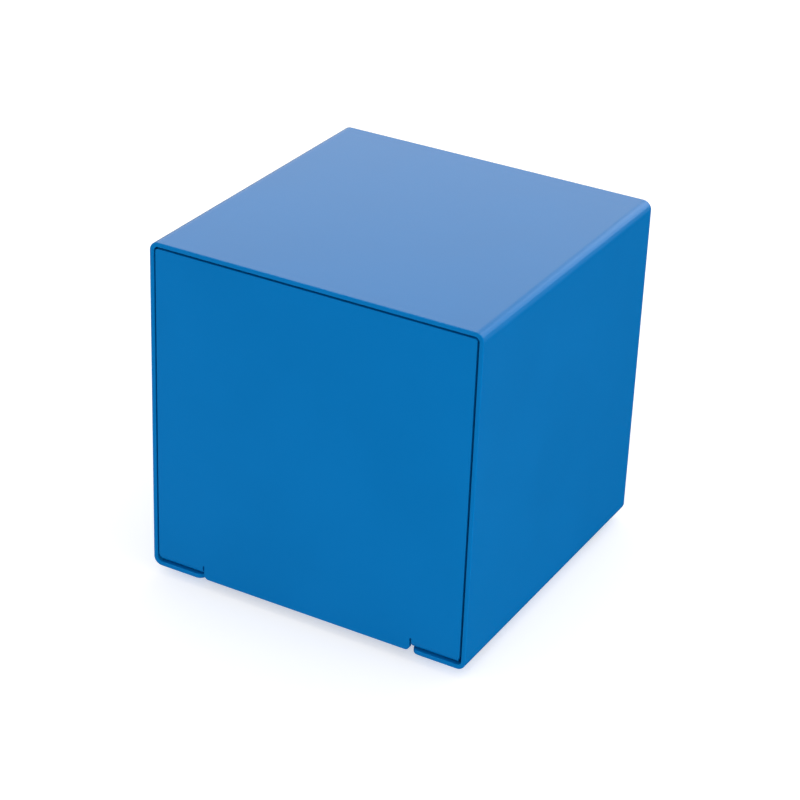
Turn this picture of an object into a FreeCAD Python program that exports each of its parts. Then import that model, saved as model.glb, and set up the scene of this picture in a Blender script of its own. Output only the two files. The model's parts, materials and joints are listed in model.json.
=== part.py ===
"""Direct injection box in a cube cabinet of folded steel.

Millimetres, +Z up. The origin is on the surface that the feet stand on, under the middle of the
cabinet. -Y is the plain front panel and +Y is the connector side.
"""
import FreeCAD, Part
import math
import os
from FreeCAD import Vector

# Cabinet
WIDTH = 115.0
DEPTH = 115.0
HEIGHT = 115.0          # without the feet
SHEET = 1.5
BEND = 1.5              # inside radius of every fold
SEAM = 0.6              # dark gap round the front and rear panels
SIDE_CLEAR = 0.1        # chassis floor to the shell's fold
RETURN = 19.0           # width of the shell's two bottom returns
RETURN_CORNER = 2.6
SLIT = 0.6
SLIT_RISE = 0.75        # how far the slits pass the fold
SKIRT_LIFT = 0.6
SKIRT_CORNER = 1.6
SKIRT_NOTCH = 4.1       # floor cut away behind the skirt
REAR_RECESS = 10.0      # rear panel set back from the shell's rear edge
REAR_FOOT = 11.0        # folded foot of the rear panel
REAR_FOOT_HALF = 36.0
REAR_STUD_FROM_END = 6.0
REAR_STUD_FROM_EDGE = 4.0

# Feet and M3 hardware
FOOT_HEIGHT = 3.5
FOOT_RADIUS = 6.0
FOOT_INSET = 17.5       # from the cabinet's front and rear
FOOT_ROUND = 0.8
HEAD_POCKET = 2.3
HEAD_POCKET_RADIUS = 3.7
M3 = 1.5                # radius of the screws
M3_HOLE = 1.7
HEAD_RADIUS = 2.85
HEAD_HEIGHT = 1.65
HEAD_ROUND = 0.9
HEX_KEY = 2.0
HEX_KEY_DEPTH = 1.0
WASHER = 0.5
WASHER_CLEAR = 0.2
CLINCH_RADIUS = 2.1     # shank pressed into the sheet
CLINCH_NUT_RADIUS = 3.15
NUT_ACROSS = 5.5
NUT_HEIGHT = 2.4
STUD_HEAD = 0.6
THREAD_PAST = 0.8       # thread that stands past its nut
PAN_RADIUS = 2.8
PAN_HEIGHT = 1.8
PAN_ROUND = 0.8

# Circuit board
BOARD_WIDTH = 96.0
BOARD_DEPTH = 40.0
BOARD = 1.6
BOARD_GAP = 1.0         # to the rear panel
STANDOFF = 10.0
STANDOFF_X = 42.0
STANDOFF_Y = (5.0, 27.0)  # from the board's front edge
STANDOFF_THREAD = 7.0
BOARD_CORNER = 1.5
BOARD_SCREW = 6.0
RESISTOR_RADIUS = 1.2
RESISTOR_HALF = 3.1
RESISTOR_TAIL = 0.3
RESISTOR_REACH = 5.2
RESISTOR_LIFT = 1.9
RESISTOR_FIRST = 19.0   # from the board's front edge
RESISTOR_PITCH = 4.2
CAPACITOR = (7.2, 4.5, 7.5)
CAPACITOR_ROUND = 0.5
CAPACITOR_X = 22.0
CAPACITOR_Y = 7.0       # from the board's front edge

# Output connector, three pins
XLR_DROP = 29.0         # below the rear panel's top edge
XLR_FLANGE_X = 26.0
XLR_FLANGE_Z = 31.0
XLR_FLANGE = 2.0
XLR_SLEEVE = 11.6
XLR_BORE = 8.2
XLR_DEPTH = 17.0        # sleeve behind the flange
XLR_CORNER = 2.5
XLR_COLLAR = 0.8        # both its height and its step
XLR_KEY = (4.5, 6.8, 2.2)
XLR_KEY_SUNK = 2.6
XLR_INSERT = 3.0
XLR_INSERT_TAIL = 5.0
XLR_INSERT_STEP = 1.2
XLR_PIN = 1.2
XLR_PIN_NOSE = 0.9
XLR_PIN_CIRCLE = 4.05
XLR_PIN_RECESS = 5.0
XLR_PIN_TAIL = 9.0
XLR_SCREW_X = 9.5
XLR_SCREW_Z = 12.0
XLR_SCREW = 8.0         # length
CONE_RADIUS = 2.8       # countersunk head
CONE_HOLE = 3.0
CONE_HEIGHT = 1.3
CROSS_LONG = 3.0
CROSS_WIDE = 0.6
CROSS_DEEP = 1.2
HOLE_CLEAR = 0.4

# Quarter-inch jacks
JACK_X = 24.0
JACK_RISE = 8.2         # axis above the board
JACK_BODY = 16.0
JACK_BODY_DEPTH = 26.0
JACK_THREAD = 4.7
JACK_BORE = 3.25
JACK_CAVITY = 3.7
JACK_BUSH_IN = 8.0
JACK_BUSH_OUT = 6.5
JACK_WASHER = 0.6
JACK_NUT = 2.4
JACK_NUT_ACROSS = 12.7
JACK_CLEAR = 0.2
JACK_WASHER_RADIUS = 7.6
JACK_BACK = 2.0         # wall behind the cavity
JACK_ROUND = 0.8
JACK_MOUTH = 0.4
LEAF = (0.4, 12.0, 3.0)
LEAF_FROM_BACK = 9.5
LEAF_OUT = 0.5          # leaf's middle past the cavity's wall
LEAF_TAIL = 1.2
LEAF_TAIL_FROM_BACK = 3.5
LEAF_TAIL_UNDER = 1.5   # below the board
LEAF_CLEAR = 0.3
LEAF_SLOT_CLEAR = 0.2

# Slide switches
SWITCH_X = 32.0
SWITCH_BODY = (15.0, 6.5, 8.6)
SWITCH_FRAME = (24.0, 0.6, 9.6)
SWITCH_NUB = (4.0, 3.6)
SWITCH_TRAVEL = 4.0
SWITCH_SLIDE = (8.0, 2.0, 6.0)
SWITCH_OUT = 3.0
SWITCH_SCREW_X = 9.6
SWITCH_GAP = 0.25
SWITCH_FRAME_CORNER = 1.2
SWITCH_BODY_ROUND = 0.6
NUB_ROUND = 0.4
RIB_PITCH = 1.1
RIB_GROOVE = (0.5, 0.8)
BLADE = (1.2, 4.0, 0.5)
BLADE_ROW = 2.2
SWITCH_BLADE_STEP = 4.0
M2 = 1.0
M2_HEAD = (1.9, 1.2)
M2_ROUND = 0.5
M2_SCREW = 4.0
M2_CROSS = (2.2, 1.0, 0.45)

# Push switch
PUSH_THREAD = 5.0
PUSH_BORE = 3.7
PUSH_BODY = 12.0
PUSH_BODY_DEPTH = 14.0
PUSH_BARREL_IN = 2.0
PUSH_BARREL_OUT = 5.0
PUSH_NUT_ACROSS = 14.0
PUSH_CAP_OUT = 3.2
PUSH_TRAVEL = 3.0
PUSH_CLEAR = 0.2
PUSH_COLLAR = 4.3
PUSH_COLLAR_LENGTH = 1.8
PUSH_COLLAR_CLEAR = 0.3
PUSH_STOP_CLEAR = 0.1
PUSH_NUT = 2.0
PUSH_BACK = 2.0
PUSH_ROUND = 0.8
PUSH_MOUTH = 0.3
PUSH_BLADE_STEP = 3.0

# Transformer
CORE_UNIT = 5.33        # tongue is two of these, a window is one by three
CORE_STACK = 12.0
CORE_GAP = 0.2
BOBBIN_WALL = 0.8
BOBBIN_END = 1.0
COIL_INSET = 0.5
COIL_CORNER = 2.0
CAN = (38.0, 28.0, 31.0)
CAN_WALL = 0.8
CAN_CORNER = 1.6
CAN_FROM_FRONT = 8.0
LEAD_X = (-15.0, -11.0, 11.0, 15.0)
LEAD_LIFT = 5.0
LEAD_CLEAR = 0.25
CLAMP = 1.0
CLAMP_WIDTH = 12.0
CLAMP_BEND = 1.5
CLAMP_EAR = 11.0
CLAMP_EAR_CORNER = 2.0
PAD = 1.5

# Earth lug and wires
LUG = 0.8
LUG_X = 36.0
LUG_FROM_BOARD = 11.0
LUG_RING = 4.0
LUG_TONGUE = (2.0, 10.0)
LUG_CRIMP = 8.0         # from the stud to the wire
WIRE = 0.65

# Worked out from the sizes above
half_w = WIDTH / 2
half_d = DEPTH / 2
under = FOOT_HEIGHT                     # shell's underside
roof = under + HEIGHT
fold = SHEET + BEND                     # outside radius of every fold
floor_low = under + SHEET
floor_top = floor_low + SHEET
panel_half = half_w - SHEET - SEAM
panel_top = roof - SHEET - SEAM
floor_half = half_w - fold - SIDE_CLEAR
foot_x = half_w - (fold + RETURN) / 2
foot_y = half_d - FOOT_INSET
return_edge = half_w - RETURN
skirt_half = return_edge - SLIT
slit_top = floor_low + fold + SLIT_RISE
rear_out = half_d - REAR_RECESS
rear_in = rear_out - SHEET
board_low = floor_top + STANDOFF
board_top = board_low + BOARD
board_rear = rear_in - BOARD_GAP
board_front = board_rear - BOARD_DEPTH
jack_z = board_top + JACK_RISE
jack_top = board_top + JACK_BODY
xlr_z = panel_top - XLR_DROP
switch_z = (xlr_z - XLR_FLANGE_Z / 2 + jack_top) / 2
can_y = -half_d + SHEET + CAN_FROM_FRONT + CAN[1] / 2
can_rear = can_y + CAN[1] / 2
stud_x = CAN[0] / 2 + CLAMP + CLAMP_EAR / 2
lug_y = board_front - LUG_FROM_BOARD
rear_stud_y = rear_out - REAR_FOOT + REAR_STUD_FROM_EDGE
X = Vector(1, 0, 0)
Y = Vector(0, 1, 0)
Z = Vector(0, 0, 1)


def box(x0, x1, y0, y1, z0, z1):
    """Block between two corners."""
    return Part.makeBox(x1 - x0, y1 - y0, z1 - z0, Vector(x0, y0, z0))


def block(centre, size):
    """Block of a size (x, y, z) about its centre."""
    return Part.makeBox(*size, centre - Vector(*size) / 2)


def rod(radius, start, axis, length):
    """Round bar from a point along an axis."""
    return Part.makeCylinder(radius, length, start, axis)


def ring(outer, inner, start, axis, length):
    """Round tube from a point along an axis."""
    return rod(outer, start, axis, length).cut(rod(inner, start, axis, length))


def prism(points, along):
    """Closed outline pushed along a vector."""
    return Part.Face(Part.makePolygon(points + points[:1])).extrude(along)


def hexagon(across, start, axis, length):
    """Six-sided bar, measured across its flats, from a point along an axis."""
    side = X
    other = axis.cross(side)
    radius = across / math.sqrt(3)
    turns = [math.radians(60 * k) for k in range(6)]
    corners = [start + side * (radius * math.cos(t)) + other * (radius * math.sin(t)) for t in turns]
    return prism(corners, axis * length)


def rounded(solid, radius, along, where=lambda point: True):
    """Round the straight edges that run along an axis, at the places that 'where' accepts."""
    edges = []
    for edge in solid.Edges:
        ends = [v.Point for v in edge.Vertexes]
        if len(ends) == 2 and edge.Curve.TypeId == "Part::GeomLine":
            run = ends[1] - ends[0]
            if run.cross(along).Length < 1e-6 * run.Length and where(edge.CenterOfMass):
                edges.append(edge)
    return solid.makeFillet(radius, edges)


def join(first, *others):
    """One solid from pieces that touch."""
    return first.fuse(list(others)).removeSplitter()


def round_end(edges, axis, past):
    """The closed edges whose middles lie past a point on an axis, which is where a bar ends."""
    return [e for e in edges if e.Closed and e.CenterOfMass.dot(axis) > past]


def group(solids):
    """Separate solids kept together in one node."""
    return Part.makeCompound(solids)


def lead(points, radius=WIRE):
    """Insulated wire: straight runs joined by tangent arcs, swept with a round section."""
    edges = []
    start = points[0]
    for before, here, after in zip(points, points[1:], points[2:]):
        arrive = here - before
        leave = after - here
        reach = 0.45 * min(arrive.Length, leave.Length)
        arrive = arrive / arrive.Length
        leave = leave / leave.Length
        turn = arrive.getAngle(leave)
        inward = (leave - arrive) / (leave - arrive).Length
        middle = here + inward * (reach * (1 / math.sin(turn / 2) - 1 / math.tan(turn / 2)))
        first = here - arrive * reach
        last = here + leave * reach
        edges.append(Part.LineSegment(start, first).toShape())
        edges.append(Part.Arc(first, middle, last).toShape())
        start = last
    edges.append(Part.LineSegment(start, points[-1]).toShape())
    path = Part.Wire(edges)
    section = Part.Wire(Part.makeCircle(radius, points[0], points[1] - points[0]))
    return path.makePipeShell([section], True, True)


def at_feet():
    """The four corners of the underside that carry a foot and a screw."""
    return [Vector(sx * foot_x, sy * foot_y, 0) for sx in (-1, 1) for sy in (-1, 1)]


def at_standoffs():
    """The four corners of the circuit board that are held by a standoff."""
    rows = [board_front + along for along in STANDOFF_Y]
    return [Vector(sx * STANDOFF_X, y, 0) for sx in (-1, 1) for y in rows]


def at_rear_studs():
    """The three studs that hold the rear panel's foot."""
    return [Vector(sx * (REAR_FOOT_HALF - REAR_STUD_FROM_END), rear_stud_y, 0) for sx in (-1, 0, 1)]


def at_clamp_studs():
    """The two studs that hold the transformer's clamp."""
    return [Vector(sx * stud_x, can_y, 0) for sx in (-1, 1)]


def lug_stud():
    """The stud that takes the earth lug."""
    return Vector(LUG_X, lug_y, 0)


def xlr_pin_centres():
    """Centres of the three output pins, seen along Y."""
    turns = [math.radians(a) for a in (150, 30, 270)]
    return [Vector(XLR_PIN_CIRCLE * math.cos(t), 0, xlr_z + XLR_PIN_CIRCLE * math.sin(t)) for t in turns]


def xlr_screw_centres():
    """The two screws of the output connector, on a diagonal."""
    return [Vector(s * XLR_SCREW_X, 0, xlr_z - s * XLR_SCREW_Z) for s in (-1, 1)]


def raised(point, z):
    """The same point at another height."""
    return Vector(point.x, point.y, z)


def moved_back(point, y):
    """The same point at another depth."""
    return Vector(point.x, y, point.z)


def shell():
    """Top, two sides and two bottom returns, folded from one sheet."""
    outside = rounded(box(-half_w, half_w, -half_d, half_d, under, roof), fold, Y)
    inside = box(-half_w + SHEET, half_w - SHEET, -half_d, half_d, floor_low, roof - SHEET)
    wrap = outside.cut(rounded(inside, BEND, Y))
    wrap = wrap.cut(box(-return_edge, return_edge, -half_d, half_d, under, floor_low))
    wrap = rounded(wrap, RETURN_CORNER, Z, lambda p: abs(p.x) < half_w - fold)
    return wrap.cut([rod(M3_HOLE, raised(p, under), Z, SHEET) for p in at_feet()])


def floor_holes():
    """Holes of the chassis floor for everything that is pressed into it."""
    plain = at_feet() + at_standoffs()
    holes = [rod(CLINCH_RADIUS, raised(p, floor_low), Z, SHEET) for p in plain]
    for p in at_rear_studs() + at_clamp_studs() + [lug_stud()]:
        holes.append(rod(CLINCH_RADIUS, raised(p, floor_low), Z, STUD_HEAD))
        holes.append(rod(M3, raised(p, floor_low), Z, SHEET))
    return holes


def chassis():
    """Front panel and floor, folded from one sheet, with a flat skirt between two slits."""
    rear = half_d - SEAM
    outside = box(-panel_half, panel_half, -half_d, rear, floor_low, panel_top)
    outside = rounded(outside, fold, X, lambda p: p.y < 0 and p.z < floor_top)
    outside = rounded(outside, BEND - SEAM, Y, lambda p: p.z > panel_top - SHEET)
    inside = box(-half_w, half_w, -half_d + SHEET, half_d, floor_top, roof)
    sheet = outside.cut(rounded(inside, BEND, X, lambda p: p.y < 0 and p.z < floor_top + BEND))
    for side in (-1, 1):
        outer = side * half_w
        taper = [(side * panel_half, floor_low + fold), (side * floor_half, floor_low),
                 (outer, floor_low), (outer, floor_low + fold)]
        wedge = prism([Vector(x, -half_d, z) for x, z in taper], Y * DEPTH)
        sheet = sheet.cut(wedge)
    notch = box(-return_edge, return_edge, -half_d, -half_d + SKIRT_NOTCH, under, slit_top)
    skirt = box(-skirt_half, skirt_half, -half_d, -half_d + SHEET, under + SKIRT_LIFT, slit_top)
    skirt = rounded(skirt, SKIRT_CORNER, Y, lambda p: p.z < floor_low)
    return join(sheet.cut(notch), skirt).cut(floor_holes())


def rear_panel():
    """Connector panel with a folded foot that stands on the chassis floor."""
    foot_top = floor_top + 2 * fold
    half = REAR_FOOT_HALF
    plate = box(-panel_half, panel_half, rear_in, rear_out, floor_top + SIDE_CLEAR, panel_top)
    plate = rounded(plate, BEND - SEAM, Y, lambda p: p.z > panel_top - SHEET)
    plate = plate.cut(box(-half, half, rear_in, rear_out, floor_top, foot_top))
    low = rear_out - REAR_FOOT
    foot = box(-half, half, low, rear_out, floor_top, foot_top)
    foot = rounded(foot, fold, X, lambda p: p.y > rear_in and p.z < floor_top + SHEET)
    inner = box(-half_w, half_w, low, rear_in, floor_top + SHEET, roof)
    inner = rounded(inner, BEND, X, lambda p: p.y > low + BEND and p.z < floor_top + fold)
    panel = join(plate, foot.cut(inner))
    holes = [rod(XLR_SLEEVE + HOLE_CLEAR, Vector(0, rear_in, xlr_z), Y, SHEET)]
    holes += [rod(M3_HOLE, moved_back(p, rear_in), Y, SHEET) for p in xlr_screw_centres()]
    holes.append(rod(PUSH_THREAD + JACK_CLEAR, Vector(0, rear_in, switch_z), Y, SHEET))
    for side in (-1, 1):
        holes.append(rod(JACK_THREAD + JACK_CLEAR, Vector(side * JACK_X, rear_in, jack_z), Y, SHEET))
        centre = Vector(side * SWITCH_X, rear_in + SHEET / 2, switch_z)
        holes.append(block(centre, switch_window(SHEET)))
        holes += [rod(M2 + SWITCH_GAP, moved_back(p, rear_in), Y, SHEET) for p in switch_screws_at(side)]
    holes += [rod(M3_HOLE, raised(p, floor_top), Z, SHEET) for p in at_rear_studs()]
    return panel.cut(holes)


def rubber_feet():
    """Round feet with a pocket that hides the screw head."""
    feet = []
    for p in at_feet():
        foot = rod(FOOT_RADIUS, p, Z, FOOT_HEIGHT)
        foot = foot.makeFillet(FOOT_ROUND, round_end(foot.Edges, -Z, -FOOT_HEIGHT / 2))
        foot = foot.cut(rod(HEAD_POCKET_RADIUS, p, Z, HEAD_POCKET))
        feet.append(foot.cut(rod(M3_HOLE, p, Z, FOOT_HEIGHT)))
    return group(feet)


def foot_washers():
    """Washers between the screw heads and the rubber."""
    low = HEAD_POCKET - WASHER
    outer = HEAD_POCKET_RADIUS - WASHER_CLEAR
    return group([ring(outer, M3_HOLE, raised(p, low), Z, WASHER) for p in at_feet()])


def shell_screws():
    """Button-head screws that hold the feet, the shell and the chassis together."""
    screws = []
    top = HEAD_POCKET - WASHER
    reach = floor_top + NUT_HEIGHT + THREAD_PAST
    low = top - HEAD_HEIGHT
    for p in at_feet():
        head = rod(HEAD_RADIUS, raised(p, low), Z, HEAD_HEIGHT)
        head = head.makeFillet(HEAD_ROUND, round_end(head.Edges, -Z, -top + HEAD_HEIGHT / 2))
        head = head.cut(hexagon(HEX_KEY, raised(p, low), Z, HEX_KEY_DEPTH))
        screws.append(join(head, rod(M3, raised(p, top), Z, reach - top)))
    return group(screws)


def shell_nuts():
    """Clinch nuts pressed into the chassis floor."""
    nuts = []
    for p in at_feet():
        collar = rod(CLINCH_NUT_RADIUS, raised(p, floor_top), Z, NUT_HEIGHT)
        nut = join(collar, rod(CLINCH_RADIUS, raised(p, floor_low), Z, SHEET))
        nuts.append(nut.cut(rod(M3, raised(p, floor_low), Z, SHEET + NUT_HEIGHT)))
    return group(nuts)


def flush_studs(points, length):
    """Clinch studs whose heads lie flush with the floor's underside."""
    studs = []
    for p in points:
        head = rod(CLINCH_RADIUS, raised(p, floor_low), Z, STUD_HEAD)
        studs.append(join(head, rod(M3, raised(p, floor_low), Z, SHEET + length)))
    return group(studs)


def stud_nuts(points, seat):
    """Plain hexagon nuts on studs, resting on a seat at a given height."""
    nuts = []
    for p in points:
        nut = hexagon(NUT_ACROSS, raised(p, seat), Z, NUT_HEIGHT)
        nuts.append(nut.cut(rod(M3, raised(p, seat), Z, NUT_HEIGHT)))
    return group(nuts)


def xlr_shell():
    """Square flange and round sleeve of the output connector."""
    front = rear_out + XLR_FLANGE
    half_x = XLR_FLANGE_X / 2
    half_z = XLR_FLANGE_Z / 2
    flange = box(-half_x, half_x, rear_out, front, xlr_z - half_z, xlr_z + half_z)
    flange = rounded(flange, XLR_CORNER, Y)
    start = Vector(0, rear_out - XLR_DEPTH, xlr_z)
    sleeve = rod(XLR_SLEEVE, start, Y, XLR_DEPTH)
    collar = rod(XLR_SLEEVE - XLR_COLLAR, Vector(0, front, xlr_z), Y, XLR_COLLAR)
    body = join(flange, sleeve, collar)
    body = body.cut(rod(XLR_BORE, start, Y, XLR_DEPTH + XLR_FLANGE + XLR_COLLAR))
    body = body.cut(block(Vector(0, front - XLR_KEY_SUNK, xlr_z + XLR_BORE), XLR_KEY))
    for p in xlr_screw_centres():
        cone_start = moved_back(p, front - CONE_HEIGHT)
        body = body.cut(rod(M3_HOLE, moved_back(p, rear_out), Y, XLR_FLANGE))
        body = body.cut(Part.makeCone(M3_HOLE, CONE_HOLE, CONE_HEIGHT, cone_start, Y))
    return body


def xlr_insert():
    """Moulded insert that holds the three pins at the back of the sleeve."""
    rear = rear_out - XLR_DEPTH
    low = rear - XLR_INSERT_TAIL
    plug = rod(XLR_BORE, Vector(0, rear, xlr_z), Y, XLR_INSERT)
    tail = rod(XLR_BORE - XLR_INSERT_STEP, Vector(0, low, xlr_z), Y, XLR_INSERT_TAIL)
    through = XLR_INSERT + XLR_INSERT_TAIL
    return join(plug, tail).cut([rod(XLR_PIN, moved_back(p, low), Y, through) for p in xlr_pin_centres()])


def xlr_pins():
    """Three round-nosed pins with solder tails."""
    tip = rear_out + XLR_FLANGE - XLR_PIN_RECESS
    tail = rear_out - XLR_DEPTH - XLR_PIN_TAIL
    pins = []
    for p in xlr_pin_centres():
        pin = rod(XLR_PIN, moved_back(p, tail), Y, tip - tail)
        pins.append(pin.makeFillet(XLR_PIN_NOSE, round_end(pin.Edges, Y, tip - XLR_PIN)))
    return group(pins)


def cross(centre, size):
    """Two crossed blocks that cut a screwdriver's slot into a head that faces Y."""
    long, deep, wide = size
    return [block(centre, (long, deep, wide)), block(centre, (wide, deep, long))]


def xlr_screws():
    """Countersunk screws of the output connector."""
    front = rear_out + XLR_FLANGE
    screws = []
    for p in xlr_screw_centres():
        head = Part.makeCone(M3, CONE_RADIUS, CONE_HEIGHT, moved_back(p, front - CONE_HEIGHT), Y)
        screw = join(head, rod(M3, moved_back(p, front - XLR_SCREW), Y, XLR_SCREW - CONE_HEIGHT))
        screws.append(screw.cut(cross(moved_back(p, front), (CROSS_LONG, CROSS_DEEP, CROSS_WIDE))))
    return group(screws)


def xlr_nuts():
    """Nuts of the output connector, behind the rear panel."""
    nuts = []
    for p in xlr_screw_centres():
        nut = hexagon(NUT_ACROSS, moved_back(p, rear_in - NUT_HEIGHT), Y, NUT_HEIGHT)
        nuts.append(nut.cut(rod(M3, moved_back(p, rear_in - NUT_HEIGHT), Y, NUT_HEIGHT)))
    return group(nuts)


def jack_leaf(side, hand, grow=0.0):
    """Spring leaf beside a jack's bore with its tail down through the board; 'grow' is its clearance."""
    x = side * JACK_X + hand * (JACK_CAVITY + LEAF_OUT)
    rear = rear_in - JACK_BODY_DEPTH
    leaf = block(Vector(x, rear + LEAF_FROM_BACK, jack_z), [size + 2 * grow for size in LEAF])
    half = LEAF[0] / 2 + grow
    near = rear + LEAF_TAIL_FROM_BACK
    low = board_low - LEAF_TAIL_UNDER
    tail = box(x - half, x + half, near - grow, near + LEAF_TAIL + grow, low, jack_z)
    return join(leaf, tail)


def jack_housing(side):
    """Moulded jack body on the board, open inside for the plug and its two leaves."""
    x = side * JACK_X
    half = JACK_BODY / 2
    rear = rear_in - JACK_BODY_DEPTH
    body = box(x - half, x + half, rear, rear_in, board_top, jack_top)
    body = rounded(body, JACK_ROUND, Y, lambda p: p.z > jack_z)
    cavity = rod(JACK_CAVITY, Vector(x, rear + JACK_BACK, jack_z), Y, JACK_BODY_DEPTH - JACK_BACK)
    seat = rod(JACK_THREAD, Vector(x, rear_in - JACK_BUSH_IN, jack_z), Y, JACK_BUSH_IN)
    body = body.cut([cavity, seat])
    return body.cut([jack_leaf(side, hand, LEAF_CLEAR) for hand in (-1, 1)])


def jack_bushing(side):
    """Threaded bushing whose bore takes a quarter-inch plug."""
    start = Vector(side * JACK_X, rear_in - JACK_BUSH_IN, jack_z)
    length = JACK_BUSH_IN + SHEET + JACK_BUSH_OUT
    bush = ring(JACK_THREAD, JACK_BORE, start, Y, length)
    return bush.makeChamfer(JACK_MOUTH, round_end(bush.Edges, Y, rear_out))


def jack_contacts(side):
    """The two spring leaves of a jack."""
    return group([jack_leaf(side, hand) for hand in (-1, 1)])


def jack_washers():
    """Washers between the rear panel and the jack nuts."""
    starts = [Vector(side * JACK_X, rear_out, jack_z) for side in (-1, 1)]
    inner = JACK_THREAD + JACK_CLEAR
    return group([ring(JACK_WASHER_RADIUS, inner, p, Y, JACK_WASHER) for p in starts])


def jack_nuts():
    """Hexagon nuts that hold the jacks in the rear panel."""
    nuts = []
    for side in (-1, 1):
        start = Vector(side * JACK_X, rear_out + JACK_WASHER, jack_z)
        nut = hexagon(JACK_NUT_ACROSS, start, Y, JACK_NUT)
        nuts.append(nut.cut(rod(JACK_THREAD, start, Y, JACK_NUT)))
    return group(nuts)


def switch_window(depth):
    """Opening that a slide switch's nub travels in."""
    return (SWITCH_NUB[0] + SWITCH_TRAVEL + 4 * SWITCH_GAP, depth, SWITCH_NUB[1] + 4 * SWITCH_GAP)


def switch_screws_at(side):
    """The two screws of a slide switch."""
    return [Vector(side * SWITCH_X + end * SWITCH_SCREW_X, 0, switch_z) for end in (-1, 1)]


def switch_frame(side):
    """Steel face plate of a slide switch, behind the rear panel."""
    centre = Vector(side * SWITCH_X, rear_in - SWITCH_FRAME[1] / 2, switch_z)
    plate = rounded(block(centre, SWITCH_FRAME), SWITCH_FRAME_CORNER, Y)
    window = block(centre, switch_window(SWITCH_FRAME[1]))
    back = rear_in - SWITCH_FRAME[1]
    screws = [rod(M2, moved_back(p, back), Y, SWITCH_FRAME[1]) for p in switch_screws_at(side)]
    return plate.cut([window] + screws)


def switch_housing(side):
    """Moulded housing of a slide switch with the track that its slider runs in."""
    front = rear_in - SWITCH_FRAME[1]
    centre = Vector(side * SWITCH_X, front - SWITCH_BODY[1] / 2, switch_z)
    body = rounded(block(centre, SWITCH_BODY), SWITCH_BODY_ROUND, Y)
    depth = SWITCH_SLIDE[1] + 2 * SWITCH_GAP
    track = (SWITCH_SLIDE[0] + SWITCH_TRAVEL + 2 * SWITCH_GAP, depth, SWITCH_SLIDE[2] + 2 * SWITCH_GAP)
    return body.cut(block(Vector(side * SWITCH_X, front - depth / 2, switch_z), track))


def switch_slider(side):
    """Slider of a slide switch, at the left end of its travel seen from +Y as +X."""
    front = rear_in - SWITCH_FRAME[1]
    x = side * SWITCH_X - SWITCH_TRAVEL / 2
    base = block(Vector(x, front - SWITCH_GAP - SWITCH_SLIDE[1] / 2, switch_z), SWITCH_SLIDE)
    low = front - SWITCH_GAP - SWITCH_SLIDE[1]
    high = rear_out + SWITCH_OUT
    nub = block(Vector(x, (low + high) / 2, switch_z), (SWITCH_NUB[0], high - low, SWITCH_NUB[1]))
    slider = join(base, rounded(nub, NUB_ROUND, Y))
    groove = (*RIB_GROOVE, SWITCH_NUB[1])
    return slider.cut([block(Vector(x + RIB_PITCH * k, high, switch_z), groove) for k in (-1, 0, 1)])


def blades(x, rear, step):
    """Two rows of three solder blades behind a switch."""
    y = rear - BLADE[1] / 2
    places = [(x + step * k, switch_z + BLADE_ROW * row) for k in (-1, 0, 1) for row in (-1, 1)]
    return group([block(Vector(px, y, pz), BLADE) for px, pz in places])


def switch_terminals(side):
    """Six blades at the back of a slide switch."""
    return blades(side * SWITCH_X, rear_in - SWITCH_FRAME[1] - SWITCH_BODY[1], SWITCH_BLADE_STEP)


def switch_screws():
    """Pan-head screws of both slide switches."""
    screws = []
    for side in (-1, 1):
        for p in switch_screws_at(side):
            head = rod(M2_HEAD[0], moved_back(p, rear_out), Y, M2_HEAD[1])
            head = head.makeFillet(M2_ROUND, round_end(head.Edges, Y, rear_out + M2_HEAD[1] / 2))
            screw = join(head, rod(M2, moved_back(p, rear_out - M2_SCREW), Y, M2_SCREW))
            screws.append(screw.cut(cross(moved_back(p, rear_out + M2_HEAD[1]), M2_CROSS)))
    return group(screws)


def push_at(y):
    """A point on the push switch's axis."""
    return Vector(0, y, switch_z)


def polarity_body():
    """Moulded body of the push switch, hollow for the plunger."""
    centre = push_at(rear_in - PUSH_BODY_DEPTH / 2)
    depth = PUSH_BODY_DEPTH - PUSH_BACK
    body = rounded(block(centre, (PUSH_BODY, PUSH_BODY_DEPTH, PUSH_BODY)), PUSH_ROUND, Y)
    well = rod(PUSH_COLLAR + PUSH_COLLAR_CLEAR, push_at(rear_in - depth), Y, depth)
    seat = rod(PUSH_THREAD, push_at(rear_in - PUSH_BARREL_IN), Y, PUSH_BARREL_IN)
    return body.cut([well, seat])


def polarity_barrel():
    """Threaded barrel of the push switch."""
    length = PUSH_BARREL_IN + SHEET + PUSH_BARREL_OUT
    barrel = ring(PUSH_THREAD, PUSH_BORE, push_at(rear_in - PUSH_BARREL_IN), Y, length)
    return barrel.makeChamfer(PUSH_MOUTH, round_end(barrel.Edges, Y, rear_out))


def polarity_nut():
    """Hexagon nut of the push switch."""
    nut = hexagon(PUSH_NUT_ACROSS, push_at(rear_out), Y, PUSH_NUT)
    return nut.cut(rod(PUSH_THREAD, push_at(rear_out), Y, PUSH_NUT))


def polarity_button():
    """Button, plunger and the collar that stops it against the barrel."""
    top = rear_out + PUSH_BARREL_OUT + PUSH_CAP_OUT
    stop = rear_in - PUSH_BARREL_IN - PUSH_STOP_CLEAR
    low = stop - PUSH_COLLAR_LENGTH
    stem = rod(PUSH_BORE - PUSH_CLEAR, push_at(low), Y, top - low)
    stem = stem.makeFillet(PUSH_ROUND, round_end(stem.Edges, Y, rear_out))
    return join(stem, rod(PUSH_COLLAR, push_at(low), Y, PUSH_COLLAR_LENGTH))


def polarity_terminals():
    """Six blades at the back of the push switch."""
    return blades(0, rear_in - PUSH_BODY_DEPTH, PUSH_BLADE_STEP)


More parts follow.
